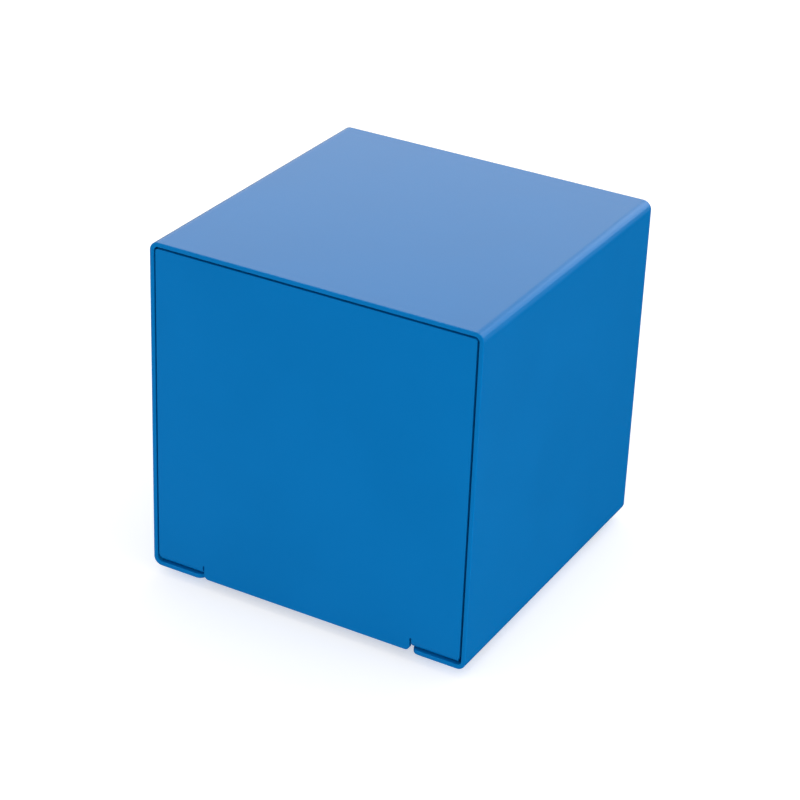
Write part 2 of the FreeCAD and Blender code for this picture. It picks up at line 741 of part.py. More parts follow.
def circuit_board():
    """Board on four standoffs with slots for the jacks' tails."""
    half = BOARD_WIDTH / 2
    board = rounded(box(-half, half, board_front, board_rear, board_low, board_top), BOARD_CORNER, Z)
    holes = [rod(M3_HOLE, raised(p, board_low), Z, BOARD) for p in at_standoffs()]
    for side in (-1, 1):
        holes += [jack_leaf(side, hand, LEAF_SLOT_CLEAR) for hand in (-1, 1)]
    return board.cut(holes)


def board_standoffs():
    """Hexagonal standoffs pressed into the chassis floor."""
    posts = []
    for p in at_standoffs():
        post = hexagon(NUT_ACROSS, raised(p, floor_top), Z, STANDOFF)
        post = join(post, rod(CLINCH_RADIUS, raised(p, floor_low), Z, SHEET))
        posts.append(post.cut(rod(M3, raised(p, board_low - STANDOFF_THREAD), Z, STANDOFF_THREAD)))
    return group(posts)


def board_screws():
    """Pan-head screws of the circuit board."""
    screws = []
    for p in at_standoffs():
        head = rod(PAN_RADIUS, raised(p, board_top), Z, PAN_HEIGHT)
        head = head.makeFillet(PAN_ROUND, round_end(head.Edges, Z, board_top + PAN_HEIGHT / 2))
        screws.append(join(head, rod(M3, raised(p, board_top - BOARD_SCREW), Z, BOARD_SCREW)))
    return group(screws)


def resistors():
    """Axial resistors lying on the board between the jacks, with bent tails."""
    made = []
    z = board_top + RESISTOR_LIFT
    for row in range(4):
        y = board_front + RESISTOR_FIRST + RESISTOR_PITCH * row
        body = rod(RESISTOR_RADIUS, Vector(-RESISTOR_HALF, y, z), X, 2 * RESISTOR_HALF)
        ends = []
        for side in (-1, 1):
            bend = Vector(side * RESISTOR_REACH, y, z)
            route = [Vector(side * RESISTOR_HALF, y, z), bend, raised(bend, board_top)]
            ends.append(lead(route, RESISTOR_TAIL))
        made.append(join(body, *ends))
    return group(made)


def capacitors():
    """Boxed film capacitors on the board."""
    made = []
    for side in (-1, 1):
        centre = Vector(side * CAPACITOR_X, board_front + CAPACITOR_Y, board_top + CAPACITOR[2] / 2)
        made.append(rounded(block(centre, CAPACITOR), CAPACITOR_ROUND, Z))
    return group(made)


def transformer_shield():
    """Open-bottomed can over the transformer with four holes for its leads."""
    can = rounded(block(Vector(0, can_y, floor_top + CAN[2] / 2), CAN), CAN_CORNER, Z)
    inner = (CAN[0] - 2 * CAN_WALL, CAN[1] - 2 * CAN_WALL, CAN[2] - CAN_WALL)
    hollow = block(Vector(0, can_y, floor_top + inner[2] / 2), inner)
    can = can.cut(rounded(hollow, CAN_CORNER - CAN_WALL, Z))
    starts = [Vector(x, can_rear - 2 * CAN_WALL, floor_top + LEAD_LIFT) for x in LEAD_X]
    return can.cut([rod(WIRE + LEAD_CLEAR, start, Y, 3 * CAN_WALL) for start in starts])


def transformer_clamp():
    """Strap over the can with two ears on the chassis floor."""
    outer_x = CAN[0] / 2 + CLAMP
    top = floor_top + CAN[2]
    half_y = CLAMP_WIDTH / 2
    y = (can_y - half_y, can_y + half_y)
    strap = box(-outer_x, outer_x, *y, floor_top, top + CLAMP)
    strap = rounded(strap, CLAMP_BEND, Y, lambda p: p.z > top)
    strap = strap.cut(box(-outer_x + CLAMP, outer_x - CLAMP, *y, floor_top, top))
    ears = []
    for side in (-1, 1):
        inner = side * (outer_x - CLAMP)
        outer = side * (outer_x + CLAMP_EAR)
        ear = box(min(inner, outer), max(inner, outer), *y, floor_top, floor_top + CLAMP)
        ears.append(rounded(ear, CLAMP_EAR_CORNER, Z, lambda p: abs(p.x) > outer_x + CLAMP))
    strap = join(strap, *ears)
    return strap.cut([rod(M3_HOLE, raised(p, floor_top), Z, CLAMP) for p in at_clamp_studs()])


def about_can(half_x, half_y, low, high):
    """Block about the transformer's upright axis."""
    return box(-half_x, half_x, can_y - half_y, can_y + half_y, low, high)


def core_box(half_x, z0, z1, half_y):
    """Block about the same axis, with its width and heights counted in core units."""
    base = floor_top + PAD
    return about_can(half_x * CORE_UNIT, half_y, base + z0 * CORE_UNIT, base + z1 * CORE_UNIT)


def bobbin_heights():
    """Lower and upper ends of the bobbin, which fits between the two yokes."""
    base = floor_top + PAD
    return base + CORE_UNIT + CORE_GAP, base + 4 * CORE_UNIT - CORE_GAP


def transformer_core():
    """Laminated core: three legs and two yokes round two windows."""
    core = core_box(3, 0, 5, CORE_STACK / 2)
    windows = core_box(2, 1, 4, CORE_STACK).cut(core_box(1, 1, 4, CORE_STACK))
    return core.cut(windows)


def transformer_bobbin():
    """Moulded bobbin round the core's middle leg, with two end plates."""
    low, high = bobbin_heights()
    tongue_x = CORE_UNIT + CORE_GAP
    tongue_y = CORE_STACK / 2 + CORE_GAP
    end_x = 2 * CORE_UNIT - CORE_GAP
    end_y = CORE_STACK / 2 + CORE_UNIT - CORE_GAP
    tube = about_can(tongue_x + BOBBIN_WALL, tongue_y + BOBBIN_WALL, low, high)
    lower = about_can(end_x, end_y, low, low + BOBBIN_END)
    upper = about_can(end_x, end_y, high - BOBBIN_END, high)
    return join(tube, lower, upper).cut(about_can(tongue_x, tongue_y, low, high))


def transformer_winding():
    """Wound coil between the bobbin's end plates."""
    low, high = bobbin_heights()
    low = low + BOBBIN_END
    high = high - BOBBIN_END
    inner_x = CORE_UNIT + CORE_GAP + BOBBIN_WALL
    inner_y = CORE_STACK / 2 + CORE_GAP + BOBBIN_WALL
    outer_x = 2 * CORE_UNIT - COIL_INSET
    outer_y = CORE_STACK / 2 + CORE_UNIT - COIL_INSET
    coil = rounded(about_can(outer_x, outer_y, low, high), COIL_CORNER, Z)
    return coil.cut(about_can(inner_x, inner_y, low, high))


def transformer_pads():
    """Soft pads under and over the core, inside the can."""
    half_x = 3 * CORE_UNIT
    half_y = CORE_STACK / 2
    top = floor_top + PAD + 5 * CORE_UNIT
    lower = about_can(half_x, half_y, floor_top, floor_top + PAD)
    upper = about_can(half_x, half_y, top, floor_top + CAN[2] - CAN_WALL)
    return group([lower, upper])


def ground_lug():
    """Ring terminal on the earth stud."""
    p = raised(lug_stud(), floor_top)
    half, long = LUG_TONGUE
    tongue = box(p.x - half, p.x + half, p.y, p.y + long, p.z, p.z + LUG)
    return join(rod(LUG_RING, p, Z, LUG), tongue).cut(rod(M3_HOLE, p, Z, LUG))


def output_wires():
    """Three leads from the output connector's pins down to the board."""
    start = rear_out - XLR_DEPTH - XLR_PIN_TAIL
    wires = []
    for p, pad in zip(xlr_pin_centres(), (-7.0, 7.0, 0.0)):
        end_y = board_front + 4.5
        drop = p.z - board_top
        route = [Vector(p.x, start, p.z), Vector(p.x, start - 5.0, p.z),
                 Vector(p.x, end_y + 2.5, p.z - 7.0),
                 Vector(pad, end_y, p.z - 0.35 * drop), Vector(pad, end_y, board_top)]
        wires.append(lead(route))
    return group(wires)


def switch_wires(side):
    """Two leads from a slide switch down to the board."""
    start = rear_in - SWITCH_FRAME[1] - SWITCH_BODY[1] - BLADE[1]
    end_y = board_front + 8.0
    z = switch_z - BLADE_ROW
    wires = []
    for step in (-1, 1):
        x = side * SWITCH_X + SWITCH_BLADE_STEP * step
        route = [Vector(x, start, z), Vector(x, start - 7.0, z), Vector(x, end_y + 2.0, z - 5.0),
                 Vector(x, end_y, z - 11.0), Vector(x, end_y, board_top)]
        wires.append(lead(route))
    return group(wires)


def polarity_wires():
    """Two leads from the push switch down to the board."""
    start = rear_in - PUSH_BODY_DEPTH - BLADE[1]
    end_y = board_front + 12.0
    z = switch_z - BLADE_ROW
    wires = []
    for side in (-1, 1):
        x = PUSH_BLADE_STEP * side
        route = [Vector(x, start, z), Vector(x, start - 5.0, z),
                 Vector(7.0 * side, end_y + 1.5, z - 5.0), Vector(10.0 * side, end_y, z - 10.0),
                 Vector(10.0 * side, end_y, board_top)]
        wires.append(lead(route))
    return group(wires)


def transformer_wires():
    """Four leads from the transformer up over the board's front edge."""
    start = can_rear - CAN_WALL - 0.5
    gap = board_front - can_rear
    z = floor_top + LEAD_LIFT
    end_y = board_front + 5.0
    wires = []
    for x in LEAD_X:
        route = [Vector(x, start, z), Vector(x, can_rear + 0.45 * gap, z),
                 Vector(x, can_rear + 0.6 * gap, board_top + 3.0),
                 Vector(x, board_front + 0.6, board_top + 8.0),
                 Vector(x, end_y, board_top + 5.5), Vector(x, end_y, board_top)]
        wires.append(lead(route))
    return group(wires)


def ground_wire():
    """Lead from the earth lug up to the board."""
    x = LUG_X
    y = lug_y + LUG_CRIMP
    end_y = board_front + 5.0
    route = [Vector(x, y, floor_top + LUG), Vector(x, y, board_top + 3.0),
             Vector(x, board_front + 1.0, board_top + 7.0),
             Vector(x, end_y, board_top + 5.0), Vector(x, end_y, board_top)]
    return lead(route)


SIDES = {"input": -1, "thru": 1}
SWITCHES = {"ground_lift": -1, "pad": 1}

nodes = {
    "shell": shell(),
    "chassis": chassis(),
    "rear_panel": rear_panel(),
    "rubber_feet": rubber_feet(),
    "foot_washers": foot_washers(),
    "shell_screws": shell_screws(),
    "shell_nuts": shell_nuts(),
    "panel_studs": flush_studs(at_rear_studs(), SHEET + NUT_HEIGHT + THREAD_PAST),
    "panel_nuts": stud_nuts(at_rear_studs(), floor_top + SHEET),
    "xlr_shell": xlr_shell(),
    "xlr_insert": xlr_insert(),
    "xlr_pins": xlr_pins(),
    "xlr_screws": xlr_screws(),
    "xlr_nuts": xlr_nuts(),
    "jack_washers": jack_washers(),
    "jack_nuts": jack_nuts(),
    "switch_screws": switch_screws(),
    "polarity_body": polarity_body(),
    "polarity_barrel": polarity_barrel(),
    "polarity_nut": polarity_nut(),
    "polarity_button": polarity_button(),
    "polarity_terminals": polarity_terminals(),
    "circuit_board": circuit_board(),
    "board_standoffs": board_standoffs(),
    "board_screws": board_screws(),
    "resistors": resistors(),
    "capacitors": capacitors(),
    "transformer_shield": transformer_shield(),
    "transformer_clamp": transformer_clamp(),
    "transformer_core": transformer_core(),
    "transformer_bobbin": transformer_bobbin(),
    "transformer_winding": transformer_winding(),
    "transformer_pads": transformer_pads(),
    "transformer_studs": flush_studs(at_clamp_studs(), CLAMP + NUT_HEIGHT + THREAD_PAST),
    "transformer_nuts": stud_nuts(at_clamp_studs(), floor_top + CLAMP),
    "ground_lug": ground_lug(),
    "ground_stud": flush_studs([lug_stud()], LUG + NUT_HEIGHT + THREAD_PAST),
    "ground_nut": stud_nuts([lug_stud()], floor_top + LUG),
    "output_wires": output_wires(),
    "polarity_wires": polarity_wires(),
    "transformer_wires": transformer_wires(),
    "ground_wire": ground_wire(),
}
for name, side in SIDES.items():
    nodes[name + "_jack_housing"] = jack_housing(side)
    nodes[name + "_jack_bushing"] = jack_bushing(side)
    nodes[name + "_jack_contacts"] = jack_contacts(side)
for name, side in SWITCHES.items():
    nodes[name + "_frame"] = switch_frame(side)
    nodes[name + "_housing"] = switch_housing(side)
    nodes[name + "_slider"] = switch_slider(side)
    nodes[name + "_terminals"] = switch_terminals(side)
    nodes[name + "_wires"] = switch_wires(side)

os.makedirs("parts", exist_ok=True)
for name, shape in nodes.items():
    shape.exportStep("parts/" + name + ".step")
print(len(nodes), "nodes written")
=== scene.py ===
# %% [markdown]
# # A direct injection box in a cube of folded steel
#
# The box turns an instrument's plug into a balanced output. Its cabinet is a 115 mm cube folded
# from 1.5 mm steel and powder-coated blue. The front is blank, and everything that is plugged,
# pressed or switched sits on a panel set back in the rear. This lesson dresses the finished CAD
# model: it keeps the pieces whose shape is right, replaces those that need softer edges or a real
# thread, and gives every piece a finish worked out from its own nodes.

import json
import math

import bmesh
import bpy
import numpy as np
from mathutils import Matrix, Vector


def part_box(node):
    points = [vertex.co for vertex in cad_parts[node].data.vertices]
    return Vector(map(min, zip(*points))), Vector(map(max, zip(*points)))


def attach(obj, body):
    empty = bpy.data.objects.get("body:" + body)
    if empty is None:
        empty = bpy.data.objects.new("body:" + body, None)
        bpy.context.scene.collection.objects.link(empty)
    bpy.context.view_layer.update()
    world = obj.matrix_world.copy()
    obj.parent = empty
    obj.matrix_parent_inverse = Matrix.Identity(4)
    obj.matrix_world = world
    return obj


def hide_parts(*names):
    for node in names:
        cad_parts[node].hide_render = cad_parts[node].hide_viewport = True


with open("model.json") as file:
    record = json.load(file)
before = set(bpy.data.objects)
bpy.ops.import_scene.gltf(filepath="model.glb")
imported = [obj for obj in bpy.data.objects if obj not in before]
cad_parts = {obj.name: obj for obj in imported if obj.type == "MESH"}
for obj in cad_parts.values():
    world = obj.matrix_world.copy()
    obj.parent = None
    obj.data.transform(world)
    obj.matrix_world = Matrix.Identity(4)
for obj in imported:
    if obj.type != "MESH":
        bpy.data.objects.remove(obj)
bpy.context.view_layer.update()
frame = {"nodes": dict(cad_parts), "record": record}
MM = 0.001

# %% [markdown]
# ## Sizes taken from the frame
#
# A new piece could be given its own numbers, but then it would part from the model as soon as a
# size changed. So places and lengths are read from the CAD nodes' own boxes, and only the maker's
# choices are written here: the sheet, its fold and how far the powder coat rounds a cut edge.


# %% Sizes
def corners(node):
    """Lowest and highest corner of a CAD node's box, in metres."""
    return tuple(np.array(corner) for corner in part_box(node))


SHEET = 1.5 * MM
FOLD = 3.0 * MM
SHEET_EDGE = 0.28 * MM
RETURN = 19.0 * MM
RETURN_CORNER = 2.6 * MM
shell_low, shell_high = corners("shell")
half_x, half_y = shell_high[:2]
print("cabinet edge:", round(2 * half_x / MM, 2), "mm; underside at", round(shell_low[2] / MM, 2), "mm")

# %% [markdown]
# ## The camera first
#
# The cube is seen from above its front right edge. A long lens some seven edges away keeps its
# sides nearly parallel. The camera aims a little under the cube's middle and leans by two degrees.
# A matrix made of its three axes says all that at once, where three Euler angles would need the
# lean worked in.

# %% Camera
LENS = 107.4
SENSOR = 36.0
TURN, LIFT, LEAN = (math.radians(angle) for angle in (28.57, 28.04, 2.34))
DISTANCE = 6.728 * 2 * half_x
AIM = np.array([-0.001, 0.0, -0.052]) * 2 * half_x


def camera_axes(turn, lift, lean):
    """Right, up and backward directions of a camera turned round Z, lifted and then leaned."""
    back = np.array([math.sin(turn) * math.cos(lift), -math.cos(turn) * math.cos(lift), math.sin(lift)])
    right = np.array([math.cos(turn), math.sin(turn), 0.0])
    up = np.cross(back, right)
    leaned_right = right * math.cos(lean) + up * math.sin(lean)
    leaned_up = up * math.cos(lean) - right * math.sin(lean)
    return leaned_right, leaned_up, back


def placed(right, up, back, place):
    """Matrix of an object with these three axes at a place."""
    matrix = np.eye(4)
    matrix[:3, :3] = np.column_stack([right, up, back])
    matrix[:3, 3] = place
    return Matrix(matrix.tolist())


def place_camera():
    """Camera on its line of sight through a point near the cube's middle."""
    data = bpy.data.cameras.new("camera")
    data.lens = LENS
    data.sensor_width = SENSOR
    data.clip_start = 0.01
    camera = bpy.data.objects.new("camera", data)
    bpy.context.collection.objects.link(camera)
    right, up, back = camera_axes(TURN, LIFT, LEAN)
    middle = (shell_low + shell_high) / 2 + AIM
    camera.matrix_world = placed(right, up, back, middle + back * DISTANCE)
    bpy.context.scene.camera = camera
    return camera


camera = place_camera()
bpy.context.scene.view_settings.view_transform = "Standard"
print("camera at", [round(v, 3) for v in camera.matrix_world.translation])

# %% [markdown]
# ## Nodes written as sums
#
# Shaders are built from nodes, and a sum of three values is already two of them. One small class
# wraps a socket so that Python's own operators add the Math nodes, and one method adds every other
# kind of node. The finishes below then read like formulas.


# %% Shader helper
class Signal:
    """An output socket, with Python's operators adding the Math nodes."""

    def __init__(self, graph, socket):
        self.graph = graph
        self.socket = socket

    def math(self, operation, other=None):
        """One Math node on this signal."""
        values = {0: self} if other is None else {0: self, 1: other}
        return self.graph.node("ShaderNodeMath", {"operation": operation}, values)

    def __add__(self, other):
        return self.math("ADD", other)

    def __sub__(self, other):
        return self.math("SUBTRACT", other)

    def __mul__(self, other):
        return self.math("MULTIPLY", other)

    def __rsub__(self, other):
        return self.graph.node("ShaderNodeMath", {"operation": "SUBTRACT"}, {0: other, 1: self})

    __radd__ = __add__
    __rmul__ = __mul__

    def within(self, low, high):
        """Smooth step from 0 at low to 1 at high."""
        spans = {"Value": self, "From Min": low, "From Max": high}
        return self.graph.node("ShaderNodeMapRange", {"interpolation_type": "SMOOTHSTEP"}, spans)

    def share(self, low, high):
        """Straight step from 0 at low to 1 at high."""
        return self.graph.node("ShaderNodeMapRange", None, {"Value": self, "From Min": low, "From Max": high})


class Graph:
    """The nodes of a material or of the world, all added by one method."""

    def __init__(self, owner):
        owner.use_nodes = True
        self.owner = owner
        self.tree = owner.node_tree
        self.tree.nodes.clear()

    def node(self, kind, settings=None, values=None, output=0):
        """Adds a node, sets its settings, then the values or links of its sockets."""
        made = self.tree.nodes.new(kind)
        for key, value in (settings or {}).items():
            if key == "bands":
                self.set_bands(made.color_ramp, value)
            else:
                setattr(made, key, value)
        for key, value in (values or {}).items():
            if isinstance(value, Signal):
                self.tree.links.new(value.socket, made.inputs[key])
            else:
                made.inputs[key].default_value = value
        return Signal(self, made.outputs[output]) if made.outputs else made

    @staticmethod
    def set_bands(ramp, bands):
        """Fills a colour ramp with bands, each a start from 0 to 1 and a colour."""
        ramp.interpolation = "CONSTANT"
        while len(ramp.elements) < len(bands):
            ramp.elements.new(1.0)
        for element, (start, colour) in zip(ramp.elements, bands):
            element.position = start
            element.color = (*colour, 1.0)

    def place(self):
        """The point on the object, in metres."""
        return self.node("ShaderNodeTexCoord", output="Object")

    def axis(self, name):
        """One coordinate of the point on the object."""
        return self.node("ShaderNodeSeparateXYZ", None, {0: self.place()}, output=name)

    def noise(self, scale, detail=2.0, stretch=None):
        """Soft random value from 0 to 1, in features of about 1/scale metres."""
        where = self.place()
        if stretch:
            where = self.node("ShaderNodeVectorMath", {"operation": "MULTIPLY"}, {0: where, 1: stretch})
        return self.node("ShaderNodeTexNoise", None, {"Vector": where, "Scale": scale, "Detail": detail})

    def blend(self, mask, first, second):
        """Colour that goes from first to second as the mask goes from 0 to 1."""
        settings = {"data_type": "RGBA", "blend_type": "MIX"}
        colours = [c if isinstance(c, Signal) else (*c, 1.0) for c in (first, second)]
        return self.node("ShaderNodeMix", settings, {0: mask, 6: colours[0], 7: colours[1]}, output=2)

    def bump(self, height, strength, distance):
        """Normal that a height in 0 to 1 gives over a distance in metres."""
        values = {"Strength": strength, "Distance": distance, "Height": height}
        return self.node("ShaderNodeBump", None, values)


def srgb(*levels):
    """Linear colour of a screen colour given from 0 to 255."""
    share = np.array(levels) / 255
    return tuple(np.where(share > 0.04045, ((share + 0.055) / 1.055) ** 2.4, share / 12.92).tolist())


# %% [markdown]
# ## Studio
#
# The box stands on a pale floor in a white room. A box this glossy mirrors its room, so the room is
# grey at eye level, brighter overhead and black well below, and only the eye sees it white: the
# upright faces stay deep blue while the top, which mirrors the bright part, turns pale. Two kinds of
# soft box help. Cards are seen only in the gloss, one for the top, one for its bend and one for the
# front edge. The bend's card is faintly warm, since the blue gloss would turn a white one too blue.
# Fills light only the matt part of the paint, so that each face can be brought to its tone by
# itself. The last box lights the connectors at the rear both ways.

# %% Room and floor
WHITE = (1.0, 1.0, 1.0, 1.0)
EYE_LEVEL = 0.38
EYE_LEVEL_RISE = (-0.32, -0.08)
OVERHEAD = 0.38
OVERHEAD_RISE = (0.1, 0.4)
FLOOR_PAINT = 0.7
FLOOR_GLOW = 0.5
FLOOR_REACH = 6.0


def light_world():
    """Room light by direction: two smooth steps in height, and plain white for the camera."""
    world = bpy.data.worlds.new("studio")
    bpy.context.scene.world = world
    graph = Graph(world)
    seen = graph.node("ShaderNodeLightPath", output="Is Camera Ray")
    direction = graph.node("ShaderNodeTexCoord", output="Generated")
    up = graph.node("ShaderNodeSeparateXYZ", None, {0: direction}, output="Z")
    room = up.within(*EYE_LEVEL_RISE) * EYE_LEVEL + up.within(*OVERHEAD_RISE) * OVERHEAD
    strength = (1 - seen) * room + seen
    shine = graph.node("ShaderNodeBackground", None, {"Color": WHITE, "Strength": strength})
    graph.node("ShaderNodeOutputWorld", None, {"Surface": shine})


def lay_floor():
    """Wide matt floor under the feet, faintly lit from within, which gloss doesn't mirror."""
    mesh = bpy.data.meshes.new("floor")
    signs = ((-1, -1), (1, -1), (1, 1), (-1, 1))
    mesh.from_pydata([(x * FLOOR_REACH, y * FLOOR_REACH, 0.0) for x, y in signs], [], [(0, 1, 2, 3)])
    floor = bpy.data.objects.new("floor", mesh)
    bpy.context.collection.objects.link(floor)
    graph = Graph(bpy.data.materials.new("pale_floor"))
    paint = graph.node("ShaderNodeBsdfDiffuse", None, {"Color": (FLOOR_PAINT,) * 3 + (1.0,)})
    glow = graph.node("ShaderNodeEmission", None, {"Color": WHITE, "Strength": FLOOR_GLOW})
    both = graph.node("ShaderNodeAddShader", None, {0: paint, 1: glow})
    graph.node("ShaderNodeOutputMaterial", None, {"Surface": both})
    mesh.materials.append(graph.owner)
    floor.visible_glossy = False


light_world()
lay_floor()
print("floor:", 2 * FLOOR_REACH, "m wide; room", EYE_LEVEL, "at eye level,", EYE_LEVEL + OVERHEAD, "overhead")

# %% Soft boxes
LID = (0.0, 0.0, 0.1)
BODY = (0.0, 0.0, 0.06)


def soft_box(name, place, aim, size, power, lights="both", colour=(1.0, 1.0, 1.0)):
    """Square area light that faces a point and lights matt paint, gloss or both."""
    data = bpy.data.lights.new(name, "AREA")
    data.color = colour
    data.size = size
    data.energy = power
    light = bpy.data.objects.new(name, data)
    bpy.context.collection.objects.link(light)
    back = np.array(place) - np.array(aim)
    back = back / np.linalg.norm(back)
    right = np.cross((0.0, 1.0, 0.2), back)
    right = right / np.linalg.norm(right)
    light.matrix_world = placed(right, np.cross(back, right), back, place)
    light.visible_glossy = lights != "matt"
    light.visible_diffuse = lights != "gloss"


soft_box("top_card", (-0.84, 1.55, 0.94), LID, 1.8, 10.0, "gloss")
soft_box("bend_card", (0.54, 1.6, 0.8), LID, 1.1, 6.4, "gloss", (1.0, 0.9, 0.82))
soft_box("edge_card", (-0.84, -0.94, 1.55), LID, 0.5, 5.0, "gloss")
soft_box("front_fill", (0.3, -1.3, 1.0), BODY, 1.0, 4.5, "matt")
soft_box("right_fill", (1.7, 0.0, 0.35), BODY, 1.0, 8.8, "matt")
soft_box("top_fill", (0.2, 0.3, 1.7), LID, 1.4, 2.6, "matt")
soft_box("rear_card", (0.2, 1.5, 0.45), BODY, 1.0, 4.0)

# %% [markdown]
# ## How a finish is built
#
# A finish could be painted into an image, but then it would have one resolution and need seams.
# Here each finish is a small function of the place on the object instead. Colour, roughness and
# bump vary over the surface; every other number is set straight on the shader. Object coordinates
# are metres, so a noise of scale 1500 has grains of about two thirds of a millimetre.


# %% Finish helper
def started(name):
    """The graph of a new material."""
    return Graph(bpy.data.materials.new(name))


def finish(graph, colour, roughness, metallic, normal, constants=None):
    """Ends a graph with one Principled shader and returns its material."""
    values = {"Base Color": colour, "Roughness": roughness, "Metallic": metallic, "Normal": normal}
    shader = graph.node("ShaderNodeBsdfPrincipled", None, {**values, **(constants or {})})
    graph.node("ShaderNodeOutputMaterial", None, {"Surface": shader})
    return graph.owner


# %% [markdown]
# ## Blue powder coat
#
# Powder is sprayed dry and melted on in an oven. It flows out almost level, and what stays is an
# orange peel of half a millimetre and a finer grain. Three noises make that: a wide one drifts the
# colour and the gloss, the other two give the bump. The gloss of this blue is itself bluish, except
# at a glancing angle, and the shader's specular tint says so.


# %% Powder coat
COAT_CLOUD = 28.0
COAT_PEEL = 1700.0
COAT_GRAIN = 5200.0
COAT_ROUGHNESS = 0.19
COAT_PEEL_HEIGHT = 0.02 * MM
COAT_GLOSS = {"IOR": 1.5, "Specular Tint": (0.08, 0.4, 1.0, 1.0)}


def powder_coat():
    """Satin powder coat: orange peel of half a millimetre, finer grain, faint cloudiness."""
    graph = started("blue_powder_coat")
    cloud = graph.noise(COAT_CLOUD, 2.0)
    grain = graph.noise(COAT_GRAIN, 1.0)
    peel = graph.noise(COAT_PEEL, 1.0)
    colour = graph.blend(cloud.within(0.3, 0.7), srgb(0, 111, 179), srgb(0, 113, 182))
    colour = graph.blend((grain - 0.5) * 0.06, colour, srgb(30, 140, 205))
    roughness = cloud * 0.03 + peel * 0.04 + COAT_ROUGHNESS
    normal = graph.bump(peel * 0.75 + grain * 0.25, 0.35, COAT_PEEL_HEIGHT)
    return finish(graph, colour, roughness, 0.0, normal, COAT_GLOSS)


# %% [markdown]
# ## Metals
#
# Nickel, zinc and silver plate all take the marks of the tool underneath. One noise stretched along
# an axis gives those lines, and a slow cloud gives the handling. The black screws are oxidised
# steel instead, which shows pale where a driver has rubbed it.


# %% Metal finishes
LINE_SCALE = 2600.0
ALLOY_LINES = 1400.0
LINE_STRETCH = 0.06
LINE_HEIGHT = 0.004 * MM
METAL_CLOUD = 160.0
MARKS = 0.08
SCREW_WEAR = 900.0


def brushed(name, low, high, roughness, along, scale=LINE_SCALE):
    """Plated metal with fine scratches drawn out along one axis."""
    graph = started(name)
    stretch = tuple(LINE_STRETCH if axis == along else 1.0 for axis in "XYZ")
    lines = graph.noise(scale, 3.0, stretch)
    cloud = graph.noise(METAL_CLOUD, 2.0)
    colour = graph.blend(cloud.within(0.25, 0.75), low, high)
    rough = lines * MARKS + cloud * MARKS + (roughness - MARKS)
    return finish(graph, colour, rough, 1.0, graph.bump(lines, 0.12, LINE_HEIGHT))


def black_oxide():
    """Oiled black screw: dark steel that shows through where it is handled."""
    graph = started("black_screw")
    wear = graph.noise(SCREW_WEAR, 3.0)
    colour = graph.blend(wear.within(0.55, 0.8), srgb(26, 26, 28), srgb(70, 70, 72))
    return finish(graph, colour, wear * 0.2 + 0.28, 0.6, graph.bump(wear, 0.2, 0.01 * MM))


# %% [markdown]
# ## Plastics and rubber
#
# A moulded part copies the spark-eroded grain of its steel mould. The grain is a fine noise that
# both roughens and dents the surface. Rubber is the same idea with dust in the hollows.


# %% Plastic and rubber finishes
MOULD_GRAIN = (2400.0, 0.01 * MM)
SLIDER_GRAIN = (3200.0, 0.006 * MM)
BUTTON_GRAIN = (3200.0, 0.005 * MM)
PAD_GRAIN = (900.0, 0.08 * MM)
PLASTIC_CLOUD = 220.0
PORES = 0.12
RUBBER_DUST = 700.0


def moulded(name, dark, light, roughness, grain=MOULD_GRAIN):
    """Moulded plastic with an eroded grain, given by its scale and its depth."""
    graph = started(name)
    scale, depth = grain
    pores = graph.noise(scale, 2.0)
    cloud = graph.noise(PLASTIC_CLOUD, 1.0)
    colour = graph.blend(cloud.within(0.3, 0.7), dark, light)
    rough = pores * PORES + (roughness - PORES / 2)
    return finish(graph, colour, rough, 0.0, graph.bump(pores, 0.3, depth))


def foot_rubber():
    """Dusty black rubber."""
    graph = started("foot_rubber")
    dust = graph.noise(RUBBER_DUST, 4.0)
    colour = graph.blend(dust.within(0.5, 0.8), srgb(24, 24, 24), srgb(52, 51, 49))
    return finish(graph, colour, dust * 0.15 + 0.72, 0.0, graph.bump(dust, 0.4, 0.03 * MM))


# %% [markdown]
# ## Finishes inside the box
#
# The circuit board, its parts, the wires and the transformer are seen only when the shell is off.
# A board shows its tracks as ridges under green lacquer, so cell edges of a Voronoi texture stand
# for them, and its cut edge is bare laminate. Bands on resistors and coats on wires are constant
# steps of a colour ramp along X. Laminations and windings are a sine across the stack, with
# painted shade in each groove.

# %% Board, resistors and wires
RESISTOR_HALF = 3.1 * MM
WIRES_REACH = 40.0 * MM
TRACK_CELLS = 230.0
TRACK_HEIGHT = 0.03 * MM
WEAVE = 1800.0
SPECKLE = 1500.0
SCUFF = 1200.0
SPECKLE_HEIGHT = 0.01 * MM
PATCH = 500.0
GROOVE = 0.05 * MM


def board_laminate():
    """Circuit board: green mask over copper tracks, with the pale laminate bare at its edges."""
    graph = started("board_laminate")
    settings = {"feature": "DISTANCE_TO_EDGE", "distance": "MANHATTAN"}
    cells = graph.node("ShaderNodeTexVoronoi", settings, {"Vector": graph.place(), "Scale": TRACK_CELLS})
    track = 1 - cells.within(0.04, 0.09)
    mask = graph.blend(track, srgb(14, 92, 48), srgb(34, 128, 66))
    weave = graph.noise(WEAVE, 2.0)
    edge = graph.blend(weave, srgb(176, 164, 112), srgb(198, 188, 140))
    facing = graph.node("ShaderNodeNewGeometry", output="Normal")
    up = graph.node("ShaderNodeSeparateXYZ", None, {0: facing}, output="Z").math("ABSOLUTE")
    colour = graph.blend(up.within(0.4, 0.6), edge, mask)
    return finish(graph, colour, weave * 0.1 + 0.3, 0.0, graph.bump(track, 0.5, TRACK_HEIGHT))


